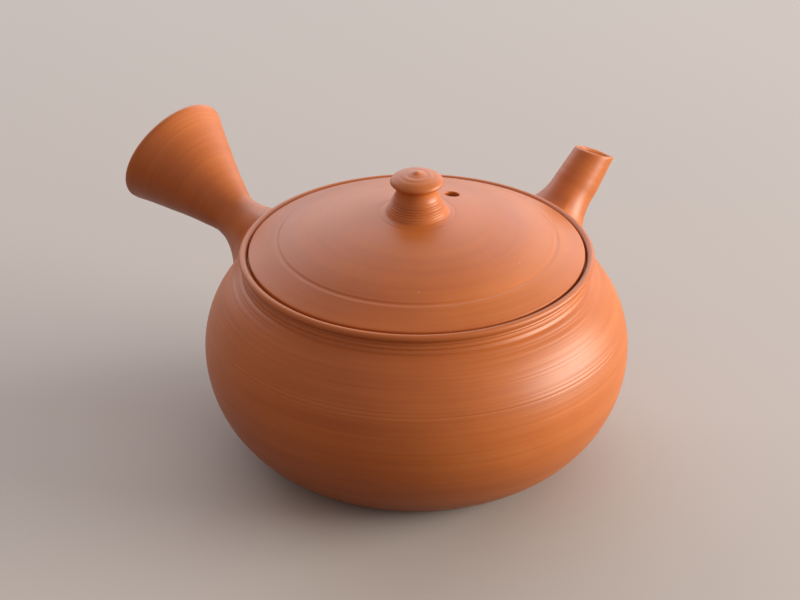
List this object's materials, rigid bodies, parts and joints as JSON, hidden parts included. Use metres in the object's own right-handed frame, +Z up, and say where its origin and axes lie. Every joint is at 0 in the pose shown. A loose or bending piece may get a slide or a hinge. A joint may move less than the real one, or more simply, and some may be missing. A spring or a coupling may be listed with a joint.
{
  "type": "side-handle teapot",
  "caption": "Unglazed red clay side-handle teapot with round belly, short spout, hollow trumpet handle, inner strainer and a lift-off domed lid with turned knob.",
  "frame": {"origin": "centre of the flat foot, on the surface that the pot stands on", "axes": "+Z up along the pot's turning axis, +X towards the spout, +Y towards the handle"},
  "size_m": [0.1279, 0.1591, 0.0804],
  "materials": {
    "red_clay": "unglazed, satin"
  },
  "bodies": {
    "pot": {"pot_body": "red_clay", "spout": "red_clay", "spout_luting": "red_clay", "strainer": "red_clay", "strainer_luting": "red_clay", "handle": "red_clay", "handle_luting": "red_clay"},
    "lid": {"lid": "red_clay", "lid_knob": "red_clay", "knob_luting": "red_clay"}
  },
  "joints": [
    {"name": "lid_lift", "type": "slide", "parent": "pot", "child": "lid", "axis": [0, 0, 1], "range_m": [0, 0.06]}
  ]
}
